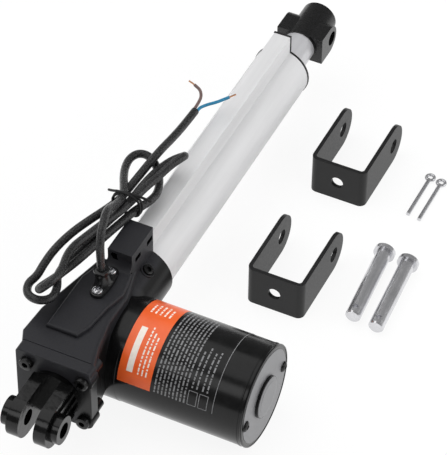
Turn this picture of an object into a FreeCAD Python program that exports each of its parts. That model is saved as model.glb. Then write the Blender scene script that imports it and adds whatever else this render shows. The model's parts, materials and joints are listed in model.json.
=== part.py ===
import FreeCAD, Part
import os
import math
import Sketcher

# Electric linear actuator with a side mounted motor, 200 mm of travel, and the
# loose mounting kit that lies beside it.
# Frame: the origin is the centre of the rear clevis pin hole. +X runs along the
# tube to the rod eye, the motor hangs off to -Y and +Z is up. Millimetres.

V = FreeCAD.Vector
Turn = FreeCAD.Rotation

# Driving dimensions

SIZES = [
    # travel and clearances
    ("stroke", 200.0),
    ("run_gap", 0.08),
    ("free_gap", 0.30),
    ("seat_gap", 0.02),
    # clevis pins and the ears that hold them
    ("pin_rad", 5.0),
    ("pin_gap", 0.05),
    ("ear_rad", 13.0),
    ("ear_gap_half", 5.0),
    ("ear_thick", 8.0),
    ("ear_boss_rad", 9.0),
    ("clevis_half", 18.5),
    ("base_rad", 16.5),
    ("base_thick", 3.5),
    ("rib_thick", 2.2),
    # rear cover
    ("cover_at", 24.5),
    ("cover_thick", 8.4),
    ("cover_left", 26.0),
    ("cover_right", 23.4),
    ("cover_top", 25.5),
    ("cover_low", 22.5),
    ("cover_round", 3.0),
    ("seam_round", 0.7),
    ("screw_pitch_y", 18.2),
    ("screw_pitch_z", 17.0),
    ("screw_boss_rad", 6.2),
    ("screw_head_rad", 4.3),
    ("screw_head_tall", 3.2),
    ("screw_rad", 2.5),
    ("screw_long", 16.0),
    ("screw_post_wall", 1.6),
    # gearbox casting
    ("box_len", 79.0),
    ("box_shoulder", 29.5),
    ("box_shoulder_at", 7.5),
    ("box_left_mid", 28.2),
    ("box_left_end", 15.8),
    ("box_right_in", 17.4),
    ("box_right_mid", 14.1),
    ("box_right_end", 8.6),
    ("box_round", 2.6),
    ("pad_rise", 3.0),
    ("pad_start", 14.0),
    ("pad_left", 17.4),
    ("pad_right", 3.0),
    ("pad_right_end", 12.4),
    ("pad_round", 1.6),
    ("socket_len", 27.8),
    ("socket_rad", 21.1),
    ("socket_wall", 2.2),
    ("block_half", 8.1),
    ("block_top", 40.1),
    ("block_in", 4.1),
    ("slot_half", 3.4),
    ("slot_rear", 7.9),
    ("slot_front", 4.6),
    ("clamp_at", 13.6),
    ("clamp_rad", 3.4),
    ("clamp_angle", 33.0),
    # outer tube with its switch channel
    ("tube_rad", 19.1),
    ("tube_wall", 2.6),
    ("chan_half", 5.7),
    ("chan_top", 31.4),
    ("chan_wall", 1.7),
    ("seal_thick", 1.3),
    ("seal_lip", 0.4),
    ("bush_len", 16.5),
    # push rod, nut and eye
    ("rod_rad", 11.0),
    ("rod_bore", 8.5),
    ("nut_len", 18.0),
    ("nut_collar", 6.0),
    ("nut_room_gap", 1.4),
    ("nut_back", 2.4),
    ("rod_out", 28.3),
    ("head_len", 34.1),
    ("eye_in", 16.7),
    ("head_rad", 12.1),
    ("head_round", 1.2),
    ("pad_half_y", 16.5),
    ("pad_half_z", 10.2),
    ("pad_back", 16.0),
    ("spigot_len", 12.0),
    # lead screw and wheel
    ("lead_rad", 6.0),
    ("journal_rad", 5.0),
    ("screw_back", 38.0),
    ("wheel_rad", 10.2),
    ("wheel_wide", 11.0),
    ("wheel_teeth", 20.0),
    ("bearing_rad", 13.0),
    ("bearing_wide", 8.0),
    ("rear_bearing_rad", 11.0),
    ("rear_bearing_wide", 7.0),
    # motor
    ("motor_x", 86.6),
    ("motor_drop", 14.0),
    ("worm_rad", 3.6),
    ("shaft_rad", 4.0),
    ("can_rad", 32.4),
    ("can_wall", 1.6),
    ("can_at", 21.3),
    ("can_len", 82.3),
    ("can_front", 3.0),
    ("flange_deep", 12.3),
    ("end_thick", 3.0),
    ("end_boss_rad", 11.0),
    ("end_boss_tall", 2.4),
    ("end_screw_at", 26.4),
    ("bolt_rad", 2.0),
    ("bolt_in", 4.5),
    ("bolt_head_rad", 3.6),
    ("bolt_head_tall", 2.2),
    ("magnet_thick", 5.0),
    ("magnet_len", 50.0),
    ("air_gap", 0.8),
    ("core_len", 44.0),
    ("core_slots", 10.0),
    ("com_rad", 10.0),
    ("com_len", 8.0),
    ("com_back", 3.0),
    ("brush_plate", 1.6),
    ("motor_bearing_rad", 9.0),
    ("motor_bearing_wide", 6.0),
    # cable gland
    ("gland_in", 21.4),
    ("gland_y", 1.5),
    ("gland_rad", 4.6),
    ("gland_tall", 13.0),
    ("gland_bore", 2.9),
    ("gland_pitch", 9.0),
    ("gland_flange", 2.5),
    ("gland_screw_rad", 3.2),
    # cable
    ("cable_rad", 2.6),
    ("wire_rad", 1.0),
    # mounting kit on the ground beside the actuator
    ("floor_drop", 46.4),
    ("kit_gap", 0.3),
    ("kit_plate", 2.6),
    ("kit_bend", 2.0),
    ("kit_tall", 29.0),
    ("kit_reach", 48.0),
    ("kit_bolt_rad", 4.25),
    ("kit_x_one", 180.4),
    ("kit_y_one", 69.4),
    ("kit_x_two", 289.2),
    ("kit_y_two", 63.9),
    ("pin_one_x", 191.0),
    ("pin_one_y", 118.5),
    ("pin_two_x", 189.0),
    ("pin_two_y", 135.0),
    ("cotter_one_x", 295.5),
    ("cotter_one_y", 112.1),
    ("cotter_two_x", 294.0),
    ("cotter_two_y", 120.4),
    ("pin_len", 62.0),
    ("pin_head_rad", 7.0),
    ("pin_head_tall", 3.0),
    ("pin_hole_rad", 1.7),
    ("cotter_rad", 1.4),
    ("cotter_len", 36.0),
    ("cotter_eye", 4.0),
]


class Size:
    # A number together with the sheet formula that gives it.
    def __init__(self, number, text):
        self.number = float(number)
        self.text = text

    def __add__(self, other):
        o = size(other)
        return Size(self.number + o.number, "(%s + %s)" % (self.text, o.text))

    def __radd__(self, other):
        return size(other) + self

    def __sub__(self, other):
        o = size(other)
        return Size(self.number - o.number, "(%s - %s)" % (self.text, o.text))

    def __rsub__(self, other):
        return size(other) - self

    def __mul__(self, other):
        o = size(other)
        return Size(self.number * o.number, "(%s * %s)" % (self.text, o.text))

    def __rmul__(self, other):
        return size(other) * self

    def __truediv__(self, other):
        o = size(other)
        return Size(self.number / o.number, "(%s / %s)" % (self.text, o.text))

    def __neg__(self):
        return Size(-self.number, "(0 - %s)" % self.text)


def size(value):
    if isinstance(value, Size):
        return value
    return Size(value, "(%s)" % repr(float(value)))


doc = FreeCAD.newDocument("actuator")
sheet = doc.addObject("Spreadsheet::Sheet", "Sizes")
for row, (alias, value) in enumerate(SIZES, start=1):
    sheet.set("A%d" % row, alias)
    sheet.set("B%d" % row, repr(value))
    sheet.setAlias("B%d" % row, alias)
doc.recompute()


class Sheet:
    pass


d = Sheet()
for alias, value in SIZES:
    setattr(d, alias, Size(float(getattr(sheet, alias)), "Sizes." + alias))

TURNS = {
    "X": Turn(V(0, 1, 0), 90),
    "Y": Turn(V(1, 0, 0), -90),
    "-Y": Turn(V(1, 0, 0), 90),
    "Z": Turn(),
}
TURNED = {
    "X": Turn(),
    "-X": Turn(V(0, 0, 1), 180),
    "Y": Turn(V(0, 0, 1), 90),
    "-Y": Turn(V(0, 0, 1), -90),
    "Z": Turn(V(0, 1, 0), -90),
}


def bind(obj, prop, value):
    # Ties one property of obj to the sheet.
    obj.setExpression(prop, size(value).text)


def seat(obj, at, turn=None):
    # Places obj at a point made of sheet formulas.
    at = [size(a) for a in at]
    obj.Placement = FreeCAD.Placement(V(*[a.number for a in at]), turn or Turn())
    for letter, a in zip("xyz", at):
        obj.setExpression("Placement.Base." + letter, a.text)
    return obj


def rod(name, radius, length, at, axis="X"):
    # A round bar from the point at, along the axis.
    obj = doc.addObject("Part::Cylinder", name)
    bind(obj, "Radius", radius)
    bind(obj, "Height", length)
    return seat(obj, at, TURNS[axis])


def box(name, low, high):
    # A box between two corners.
    low, high = [size(a) for a in low], [size(a) for a in high]
    obj = doc.addObject("Part::Box", name)
    for prop, a, b in zip(("Length", "Width", "Height"), low, high):
        bind(obj, prop, b - a)
    return seat(obj, low)


def fuse(name, *parts):
    obj = doc.addObject("Part::MultiFuse", name)
    obj.Shapes = list(parts)
    obj.Refine = True
    return obj


def cut(name, base, *tools):
    tool = tools[0] if len(tools) == 1 else fuse(name + "_tools", *tools)
    obj = doc.addObject("Part::Cut", name)
    obj.Base = base
    obj.Tool = tool
    obj.Refine = True
    return obj


def outline(body, name, points, plane="XY_Plane"):
    # A closed sketch of straight lines whose corners are bound to the sheet.
    sketch = body.newObject("Sketcher::SketchObject", name)
    origin = [o for o in body.Origin.OriginFeatures if o.Role == plane][0]
    sketch.AttachmentSupport = [(origin, "")]
    sketch.MapMode = "FlatFace"
    points = [(size(a), size(b)) for a, b in points]
    count = len(points)
    for i in range(count):
        a, b = points[i], points[(i + 1) % count]
        sketch.addGeometry(
            Part.LineSegment(V(a[0].number, a[1].number, 0), V(b[0].number, b[1].number, 0)),
            False,
        )
    for i in range(count):
        sketch.addConstraint(Sketcher.Constraint("Coincident", i, 2, (i + 1) % count, 1))
    for i, (a, b) in enumerate(points):
        for kind, value in (("DistanceX", a), ("DistanceY", b)):
            index = sketch.addConstraint(
                Sketcher.Constraint(kind, -1, 1, i, 1, value.number)
            )
            sketch.setExpression("Constraints[%d]" % index, value.text)
    return sketch


def turned(name, points, at=(0, 0, 0), axis="X"):
    # A lathe piece: corners are (distance along the axis, radius).
    body = doc.addObject("PartDesign::Body", name)
    sketch = outline(body, name + "_profile", points)
    rev = body.newObject("PartDesign::Revolution", name + "_turned")
    rev.Profile = sketch
    rev.ReferenceAxis = (sketch, ["H_Axis"])
    rev.Angle = 360
    body.Tip = rev
    seat(body, at, TURNED[axis])
    return body


def slab(name, points, thick, at=(0, 0, 0), turn=None, plane="XY_Plane"):
    # A plate: a closed outline padded along the normal of its plane.
    body = doc.addObject("PartDesign::Body", name)
    sketch = outline(body, name + "_profile", points, plane)
    pad = body.newObject("PartDesign::Pad", name + "_pad")
    pad.Profile = sketch
    bind(pad, "Length", thick)
    body.Tip = pad
    seat(body, at, turn)
    return body


def rounded(name, base, radius, pick):
    # Fillets the edges of base that pick accepts.
    doc.recompute()
    edges = [i + 1 for i, e in enumerate(base.Shape.Edges) if pick(e)]
    obj = doc.addObject("Part::Fillet", name)
    obj.Base = base
    obj.Edges = [(i, size(radius).number, size(radius).number) for i in edges]
    return obj


nodes = {}


def node(name, obj):
    obj.Label = name
    nodes[name] = obj
    return obj


def along(edge, axis):
    # True for a straight edge parallel to the axis.
    if len(edge.Vertexes) != 2 or edge.Curve.TypeId != "Part::GeomLine":
        return False
    t = edge.Curve.Direction
    return abs(abs((t.x, t.y, t.z)[axis]) - 1) < 1e-6


# Rear clevis: two ears with outer bosses on a round base flange, cast with ribs

pin_hole = d.pin_rad + d.pin_gap
base_at = d.cover_at - d.base_thick
clevis_parts = [rod("clevis_base", d.base_rad, d.base_thick, (base_at, 0, 0))]
for side, sign in (("left", 1), ("right", -1)):
    y0 = d.ear_gap_half if sign > 0 else -(d.ear_gap_half + d.ear_thick)
    clevis_parts.append(
        rod("ear_round_" + side, d.ear_rad, d.ear_thick, (0, y0, 0), "Y")
    )
    clevis_parts.append(
        box(
            "ear_web_" + side,
            (0, y0, -d.ear_rad),
            (base_at + d.base_thick / 2, y0 + d.ear_thick, d.ear_rad),
        )
    )
    out = d.clevis_half - (d.ear_gap_half + d.ear_thick / 2)
    yb = (d.ear_gap_half + d.ear_thick / 2) if sign > 0 else -d.clevis_half
    clevis_parts.append(rod("ear_boss_" + side, d.ear_boss_rad, out, (0, yb, 0), "Y"))
    yr = (
        d.ear_gap_half + d.ear_thick / 2
        if sign > 0
        else -(d.clevis_half - d.free_gap * 4)
    )
    reach = d.clevis_half - d.free_gap * 4 - (d.ear_gap_half + d.ear_thick / 2)
    for k, level in enumerate((-1, 0, 1)):
        mid = level * (d.ear_boss_rad - d.rib_thick / 2 - d.free_gap)
        rib = box(
            "ear_rib_%s_%d" % (side, k),
            (0, yr, mid - d.rib_thick / 2),
            (base_at + d.base_thick / 2, yr + reach * 0.62, mid + d.rib_thick / 2),
        )
        if sign < 0:
            seat(rib, (0, -(d.ear_gap_half + d.ear_thick / 2 + reach * 0.62), mid - d.rib_thick / 2))
        clevis_parts.append(rib)
clevis_raw = fuse("clevis_raw", *clevis_parts)
clevis = cut(
    "clevis",
    clevis_raw,
    rod("clevis_hole", pin_hole, d.clevis_half * 2 + 2, (0, -(d.clevis_half + 1), 0), "Y"),
)
node("rear_clevis", clevis)

# Rear cover: a plate with a raised lip, four screw bosses and a spot for the clevis

cover = box(
    "cover_plate",
    (d.cover_at, -d.cover_right, -d.cover_low),
    (d.cover_at + d.cover_thick, d.cover_left, d.cover_top),
)
cover = rounded("cover_corners", cover, d.cover_round, lambda e: along(e, 0))
cover = rounded(
    "cover_rims",
    cover,
    d.seam_round,
    lambda e: e.BoundBox.XLength < 1e-6,
)
bosses, holes, heads = [], [], []
for k, (sy, sz) in enumerate(((1, 1), (-1, 1), (-1, -1), (1, -1))):
    y, z = sy * d.screw_pitch_y, sz * d.screw_pitch_z
    bosses.append(
        rod("cover_boss_%d" % k, d.screw_boss_rad, d.cover_thick, (d.cover_at, y, z))
    )
    holes.append(
        rod(
            "cover_hole_%d" % k,
            d.screw_rad + d.seat_gap,
            d.cover_thick + 2,
            (d.cover_at - 1, y, z),
        )
    )
    heads.append((y, z))
cover_lid = cut("rear_cover_solid", fuse("cover_with_bosses", cover, *bosses), *holes)
node("rear_cover", cover_lid)

screws = []
for k, (y, z) in enumerate(heads):
    head = turned(
        "cover_screw_%d" % k,
        [
            (0, 0),
            (0, d.screw_head_rad * 0.72),
            (d.screw_head_tall * 0.45, d.screw_head_rad),
            (d.screw_head_tall, d.screw_head_rad),
            (d.screw_head_tall, d.screw_rad),
            (d.screw_head_tall + d.screw_long, d.screw_rad),
            (d.screw_head_tall + d.screw_long, 0),
        ],
        (d.cover_at - d.screw_head_tall, y, z),
    )
    cross = box(
        "cover_screw_slot_%d" % k,
        (d.cover_at - d.screw_head_tall - 1, y - 2.2, z - 0.5),
        (d.cover_at - d.screw_head_tall * 0.45, y + 2.2, z + 0.5),
    )
    screws.append(cut("cover_screw_cut_%d" % k, head, cross))
node("rear_cover_screws", fuse("cover_screw_set", *screws))

# Gearbox casting: a tapered box with a raised pad, the tube socket, the motor
# flange and the cavities for the wheel, the worm and the bearings

box_at = d.cover_at + d.cover_thick
box_end = box_at + d.box_len
block_at = box_end - d.block_in
tube_seat_at = block_at + d.socket_wall
socket_end = block_at + d.socket_len
shoulder_at = box_at + d.box_shoulder_at
casting = slab(
    "casting",
    [
        (box_at, -(d.cover_right - 1.6)),
        (box_at + 15, -d.box_right_in),
        (box_at + 35, -d.box_right_mid),
        (box_at + 57, -d.box_right_mid),
        (box_end, -d.box_right_end),
        (box_end, d.box_left_end),
        (box_at + 28, d.box_left_mid),
        (shoulder_at, d.box_shoulder),
        (box_at, d.cover_left),
    ],
    d.cover_low + d.cover_top,
    (0, 0, -d.cover_low),
)
casting = rounded(
    "casting_top",
    casting,
    d.box_round,
    lambda e: e.BoundBox.ZMin > (d.cover_top - 0.01).number
    and e.BoundBox.XMax > (box_at + 0.01).number
    and e.BoundBox.XMin < (box_end - 0.01).number,
)
pad = slab(
    "casting_pad",
    [
        (box_at + d.pad_start, -d.pad_right),
        (box_at + 23, -(d.pad_right + 3.6)),
        (box_at + 42, -(d.pad_right + 6.0)),
        (box_at + 55, -d.pad_right_end),
        (box_end - 6, -(d.box_right_end + 0.6)),
        (box_end - 6, d.box_left_end - 3.4),
        (box_at + 58, d.pad_left - 0.4),
        (box_at + d.pad_start, d.pad_left),
    ],
    d.pad_rise + 1,
    (0, 0, d.cover_top - 1),
)
pad = rounded(
    "casting_pad_top",
    pad,
    d.pad_round,
    lambda e: e.BoundBox.ZMin > (d.cover_top + d.pad_rise - 0.01).number,
)
socket_round = rod("socket_round", d.socket_rad, d.socket_len, (block_at, 0, 0))
socket_block = box(
    "socket_block",
    (block_at, -d.block_half, 0),
    (socket_end, d.block_half, d.block_top),
)
flange = rod(
    "motor_flange", d.can_rad, d.flange_deep, (d.motor_x, -d.can_at, -d.motor_drop), "Y"
)
worm_house = rod(
    "worm_house", d.worm_rad + 11, d.can_at + 20, (d.motor_x, -d.can_at, -d.motor_drop), "Y"
)
screw_posts = [
    rod(
        "screw_post_%d" % k,
        d.screw_rad + d.screw_post_wall,
        d.screw_long - d.cover_thick + d.screw_post_wall,
        (box_at, y, z),
    )
    for k, (y, z) in enumerate(heads)
]
cast_raw = fuse(
    "cast_raw", casting, pad, socket_round, socket_block, flange, worm_house, *screw_posts
)

# the tube pocket follows the tube's own section with a seat gap
pocket_round = rod(
    "pocket_round",
    d.tube_rad + d.seat_gap,
    socket_end - tube_seat_at + 1,
    (tube_seat_at, 0, 0),
)
pocket_chan = box(
    "pocket_chan",
    (tube_seat_at, -(d.chan_half + d.seat_gap), 0),
    (socket_end + 1, d.chan_half + d.seat_gap, d.chan_top + d.seat_gap),
)
wheel_at = d.motor_x - d.wheel_wide / 2
bearing_at = d.motor_x + d.wheel_wide / 2 + d.free_gap
nut_room_at = bearing_at + d.bearing_wide + d.nut_room_gap
nut_at = nut_room_at + d.nut_back
tube_end = nut_at + d.nut_len + d.stroke + d.free_gap + d.bush_len
head_at = tube_end + d.rod_out
head_end = head_at + d.head_len
eye_at = head_at + d.eye_in
wheel_room = rod(
    "wheel_room",
    d.wheel_rad + 1.5,
    d.wheel_wide + d.free_gap * 2,
    (wheel_at - d.free_gap, 0, 0),
)
bearing_seat = rod(
    "bearing_seat",
    d.bearing_rad + d.seat_gap,
    d.bearing_wide + 2,
    (bearing_at, 0, 0),
)
nut_room = rod(
    "nut_room",
    d.tube_rad - d.tube_wall,
    tube_seat_at - nut_room_at + 1,
    (nut_room_at, 0, 0),
)
rear_seat = rod(
    "rear_seat",
    d.rear_bearing_rad + d.seat_gap,
    d.rear_bearing_wide + d.free_gap,
    (wheel_at - d.free_gap - d.rear_bearing_wide, 0, 0),
)
screw_room = rod(
    "screw_room",
    d.journal_rad + 1,
    wheel_at - d.screw_back + 2,
    (d.screw_back - 2, 0, 0),
)
worm_room = rod(
    "worm_room",
    d.worm_rad + 1.2,
    d.can_at + d.wheel_rad + 8,
    (d.motor_x, -(d.can_at + 1), -d.motor_drop),
    "Y",
)
casting_holes = []
for k, (y, z) in enumerate(heads):
    casting_holes.append(
        rod(
            "casting_hole_%d" % k,
            d.screw_rad + d.seat_gap,
            d.screw_long - d.cover_thick + 1,
            (box_at - 1, y, z),
        )
    )
slots = []
for k, x in enumerate((block_at + d.slot_rear, socket_end - d.slot_front)):
    slots.append(
        box(
            "switch_slot_%d" % k,
            (x - d.slot_half, -(d.block_half + 1), d.chan_top - 0.4),
            (x + d.slot_half, -(d.chan_half + d.seat_gap + 0.8), d.chan_top + 3.2),
        )
    )
slots.append(
    box(
        "switch_slot_back",
        (block_at - 1, 1.9, d.chan_top + d.slot_half),
        (tube_seat_at + 0.5, 1.9 + d.slot_half, d.chan_top + d.slot_half * 2),
    )
)
gland_at = d.cover_top + d.pad_rise
gland_x = box_end - d.gland_in
wire_way = rod(
    "wire_way", d.gland_bore, d.pad_rise + 9, (gland_x, d.gland_y, gland_at - d.pad_rise - 8), "Z"
)
housing = cut(
    "housing",
    cast_raw,
    pocket_round,
    pocket_chan,
    wheel_room,
    bearing_seat,
    nut_room,
    rear_seat,
    screw_room,
    worm_room,
    wire_way,
    *(casting_holes + slots)
)
node("gearbox_housing", housing)

# Outer tube: an extrusion with a round bore and a square channel on top

tube_len = tube_end - tube_seat_at
chan_floor = d.tube_rad - 0.4
tube_out = fuse(
    "tube_out",
    rod("tube_round", d.tube_rad, tube_len, (tube_seat_at, 0, 0)),
    box("tube_chan", (tube_seat_at, -d.chan_half, 0), (tube_end, d.chan_half, d.chan_top)),
)
tube = cut(
    "tube",
    tube_out,
    rod("tube_bore", d.tube_rad - d.tube_wall, tube_len + 2, (tube_seat_at - 1, 0, 0)),
    box(
        "chan_bore",
        (tube_seat_at - 1, -(d.chan_half - d.chan_wall), chan_floor),
        (tube_end + 1, d.chan_half - d.chan_wall, d.chan_top - d.chan_wall),
    ),
)
node("outer_tube", tube)

# Switch strip with its two limit switches, in the channel

strip_half = d.chan_half - d.chan_wall - d.free_gap
strip = box(
    "strip",
    (tube_seat_at + 4, -strip_half, chan_floor),
    (tube_end - 4, strip_half, chan_floor + 1.6),
)
node("switch_board", strip)
switches = []
for k, x in enumerate((tube_seat_at + 9.0, tube_end - 14.0)):
    switches.append(
        box(
            "limit_switch_%d" % k,
            (x - 6.4, -2.9, chan_floor + 1.6),
            (x + 6.4, 2.9, chan_floor + 8.0),
        )
    )
node("limit_switch_rear", switches[0])
node("limit_switch_front", switches[1])

# Tube end seal and the guide bush behind it

seal_out = fuse(
    "seal_out",
    rod("seal_round", d.tube_rad + d.seal_lip, d.seal_thick, (tube_end, 0, 0)),
    box(
        "seal_chan",
        (tube_end, -(d.chan_half + d.seal_lip), 0),
        (tube_end + d.seal_thick, d.chan_half + d.seal_lip, d.chan_top + d.seal_lip),
    ),
)
seal = cut(
    "seal",
    seal_out,
    rod("seal_hole", d.rod_rad + d.run_gap, d.seal_thick + 2, (tube_end - 1, 0, 0)),
)
node("tube_end_seal", seal)
bush = turned(
    "bush",
    [
        (0, d.rod_rad + d.run_gap),
        (0, d.tube_rad - d.tube_wall - d.seat_gap),
        (d.bush_len, d.tube_rad - d.tube_wall - d.seat_gap),
        (d.bush_len, d.rod_rad + d.run_gap),
    ],
    (tube_end - d.bush_len, 0, 0),
)
node("guide_bush", bush)

# Push rod, drive nut and rod eye

rod_back = nut_at + d.nut_collar
push = turned(
    "push",
    [
        (0, d.rod_bore),
        (0, d.rod_rad),
        (head_at - rod_back, d.rod_rad),
        (head_at - rod_back, d.rod_bore),
    ],
    (rod_back, 0, 0),
)
node("push_rod", push)
nut = turned(
    "nut",
    [
        (0, d.lead_rad + d.run_gap),
        (0, d.tube_rad - d.tube_wall - d.run_gap),
        (d.nut_len, d.tube_rad - d.tube_wall - d.run_gap),
        (d.nut_len, d.rod_rad + d.seat_gap),
        (d.nut_collar, d.rod_rad + d.seat_gap),
        (d.nut_collar, d.lead_rad + d.run_gap),
    ],
    (nut_at, 0, 0),
)
node("drive_nut", nut)

head = turned(
    "head",
    [
        (0, 0),
        (0, d.rod_bore - d.seat_gap),
        (d.spigot_len, d.rod_bore - d.seat_gap),
        (d.spigot_len, d.head_rad),
        (d.spigot_len + head_end - head_at - d.head_round, d.head_rad),
        (d.spigot_len + head_end - head_at, d.head_rad - d.head_round),
        (d.spigot_len + head_end - head_at, 0),
    ],
    (head_at - d.spigot_len, 0, 0),
)
eye_nose = eye_at + d.pin_rad + 2.4
pads = fuse(
    "eye_pads",
    box(
        "eye_pad",
        (eye_at - d.pad_back, -d.pad_half_y, -d.pad_half_z),
        (eye_nose - d.pad_half_z, d.pad_half_y, d.pad_half_z),
    ),
    rod(
        "eye_round",
        d.pad_half_z,
        d.pad_half_y * 2,
        (eye_nose - d.pad_half_z, -d.pad_half_y, 0),
        "Y",
    ),
)
eye = cut(
    "eye",
    fuse("eye_raw", head, pads),
    rod("eye_hole", pin_hole, d.pad_half_y * 2 + 2, (eye_at, -(d.pad_half_y + 1), 0), "Y"),
)
node("rod_end", eye)

# Lead screw with its journals, the worm wheel and the two bearings

screw = turned(
    "screw",
    [
        (d.screw_back, 0),
        (d.screw_back, d.journal_rad),
        (bearing_at + d.bearing_wide, d.journal_rad),
        (bearing_at + d.bearing_wide, d.lead_rad),
        (tube_end - d.bush_len + 6, d.lead_rad),
        (tube_end - d.bush_len + 8, d.lead_rad - 1.5),
        (tube_end - d.bush_len + 8, 0),
    ],
)
node("lead_screw", screw)

wheel_blank = turned(
    "wheel_blank",
    [
        (0, d.journal_rad),
        (0, d.wheel_rad - 1.2),
        (1.5, d.wheel_rad),
        (d.wheel_wide - 1.5, d.wheel_rad),
        (d.wheel_wide, d.wheel_rad - 1.2),
        (d.wheel_wide, d.journal_rad),
    ],
    (wheel_at, 0, 0),
)
teeth = int(d.wheel_teeth.number)
gaps = []
for k in range(teeth):
    gap = box(
        "tooth_gap_%d" % k,
        (wheel_at - 1, -0.75, d.wheel_rad - 1.8),
        (wheel_at + d.wheel_wide + 1, 0.75, d.wheel_rad + 1),
    )
    angle = 360.0 * k / teeth
    r = d.wheel_rad - 1.8
    c, s = math.cos(math.radians(angle)), math.sin(math.radians(angle))
    seat(
        gap,
        (wheel_at - 1, -r * s - 0.75 * c, r * c - 0.75 * s),
        Turn(V(1, 0, 0), angle),
    )
    gaps.append(gap)
node("worm_wheel", cut("wheel", wheel_blank, *gaps))


def bearing(name, inner, outer, wide, at, axis="X"):
    # A shielded ball bearing: two rings and a recessed shield, turned as one.
    step = (outer - inner) * 0.28
    return turned(
        name,
        [
            (0, inner),
            (0, inner + step),
            (0.5, inner + step),
            (0.5, outer - step),
            (0, outer - step),
            (0, outer),
            (wide, outer),
            (wide, outer - step),
            (wide - 0.5, outer - step),
            (wide - 0.5, inner + step),
            (wide, inner + step),
            (wide, inner),
        ],
        at,
        axis,
    )


node(
    "screw_bearing_front",
    bearing(
        "front_bearing",
        d.journal_rad + d.seat_gap,
        d.bearing_rad,
        d.bearing_wide,
        (bearing_at, 0, 0),
    ),
)
node(
    "screw_bearing_rear",
    bearing(
        "rear_bearing",
        d.journal_rad + d.seat_gap,
        d.rear_bearing_rad,
        d.rear_bearing_wide,
        (wheel_at - d.free_gap - d.rear_bearing_wide, 0, 0),
    ),
)

# Motor: drawn can, end plate, magnets, brushes, armature with its worm shaft

mz = -d.motor_drop
can_in = d.can_rad - d.can_wall
can = turned(
    "can",
    [
        (0, d.motor_bearing_rad + d.seat_gap),
        (0, d.can_rad - 1.5),
        (1.5, d.can_rad),
        (d.can_len + 1.6, d.can_rad),
        (d.can_len + 2.6, d.can_rad - 0.9),
        (d.can_len + 2.6, can_in - 1.2),
        (d.can_len + 1.8, can_in - 1.2),
        (d.can_len + 1.8, can_in),
        (d.can_front, can_in),
        (d.can_front, d.motor_bearing_rad + 2.5),
        (d.motor_bearing_wide + 1, d.motor_bearing_rad + 2.5),
        (d.motor_bearing_wide + 1, d.motor_bearing_rad + d.seat_gap),
    ],
    (d.motor_x, -d.can_at, mz),
    "-Y",
)
node("motor_can", can)
end_at = d.can_at + d.can_len + 1.8
plate = turned(
    "end_plate",
    [
        (-d.end_thick, d.shaft_rad + 4.4),
        (-d.end_thick, can_in - d.seat_gap),
        (0, can_in - d.seat_gap),
        (0, can_in - 1.2 - d.seat_gap),
        (1.0, can_in - 1.2 - d.seat_gap),
        (1.0, d.end_boss_rad),
        (1.0 + d.end_boss_tall, d.end_boss_rad - 0.8),
        (1.0 + d.end_boss_tall, 0),
        (0, 0),
        (0, d.shaft_rad + 4.4),
    ],
    (d.motor_x, -end_at, mz),
    "-Y",
)
end_holes = []
for k, sign in enumerate((1, -1)):
    end_holes.append(
        rod(
            "end_hole_%d" % k,
            d.bolt_rad + d.seat_gap,
            d.end_thick + 6,
            (d.motor_x + sign * d.end_screw_at, -(end_at + 3), mz),
            "Y",
        )
    )
node("motor_end_plate", cut("end_plate_cut", plate, *end_holes))
bolts = []
for k, sign in enumerate((1, -1)):
    bolts.append(
        turned(
            "end_bolt_%d" % k,
            [
                (-d.bolt_in, 0),
                (-d.bolt_in, d.bolt_rad),
                (1.0, d.bolt_rad),
                (1.0, d.bolt_head_rad),
                (1.0 + d.bolt_head_tall / 2, d.bolt_head_rad),
                (1.0 + d.bolt_head_tall, d.bolt_head_rad * 0.6),
                (1.0 + d.bolt_head_tall, 0),
            ],
            (d.motor_x + sign * d.end_screw_at, -end_at, mz),
            "-Y",
        )
    )
node("motor_bolts", fuse("end_bolts", *bolts))

mag_out = can_in
mag_in = can_in - d.magnet_thick
mag_at = d.can_at + (d.can_len - d.magnet_len) / 2
ring = turned(
    "magnet_ring",
    [(0, mag_in), (0, mag_out), (d.magnet_len, mag_out), (d.magnet_len, mag_in)],
    (d.motor_x, -mag_at, mz),
    "-Y",
)
split = box(
    "magnet_gap",
    (d.motor_x - d.can_rad, -(mag_at + d.magnet_len + 1), mz - 8),
    (d.motor_x + d.can_rad, -(mag_at - 1), mz + 8),
)
node("motor_magnets", cut("magnets", ring, split))

core_rad = mag_in - d.air_gap
core_at = d.can_at + (d.can_len - d.core_len) / 2
com_at = end_at - d.end_thick - d.com_back - d.com_len
brush_at = com_at + d.com_len - d.brush_plate
shaft_back = end_at - d.end_thick - 0.6
shaft = turned(
    "shaft",
    [
        (-(d.wheel_rad + 3), 0),
        (-(d.wheel_rad + 3), d.worm_rad),
        (d.can_at - 4, d.worm_rad),
        (d.can_at - 4, d.shaft_rad),
        (shaft_back + 3.2, d.shaft_rad),
        (shaft_back + 3.2, 0),
    ],
    (d.motor_x, 0, mz),
    "-Y",
)
node("worm_shaft", shaft)
core = turned(
    "core",
    [
        (0, d.shaft_rad),
        (0, core_rad),
        (d.core_len, core_rad),
        (d.core_len, d.shaft_rad),
    ],
    (d.motor_x, -core_at, mz),
    "-Y",
)
core_gaps = []
slots_n = int(d.core_slots.number)
for k in range(slots_n):
    a = 2 * math.pi * k / slots_n
    r = core_rad - 6
    gap = box("core_gap_%d" % k, (-1.2, 0, 0), (1.2, d.core_len + 2, 7.5))
    turn = Turn(V(0, 1, 0), math.degrees(a))
    c, s = math.cos(a), math.sin(a)
    seat(
        gap,
        (
            d.motor_x + r * s - 1.2 * c,
            -(core_at + d.core_len + 1),
            mz + r * c + 1.2 * s,
        ),
        turn,
    )
    core_gaps.append(gap)
node("armature_core", cut("core_cut", core, *core_gaps))
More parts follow.
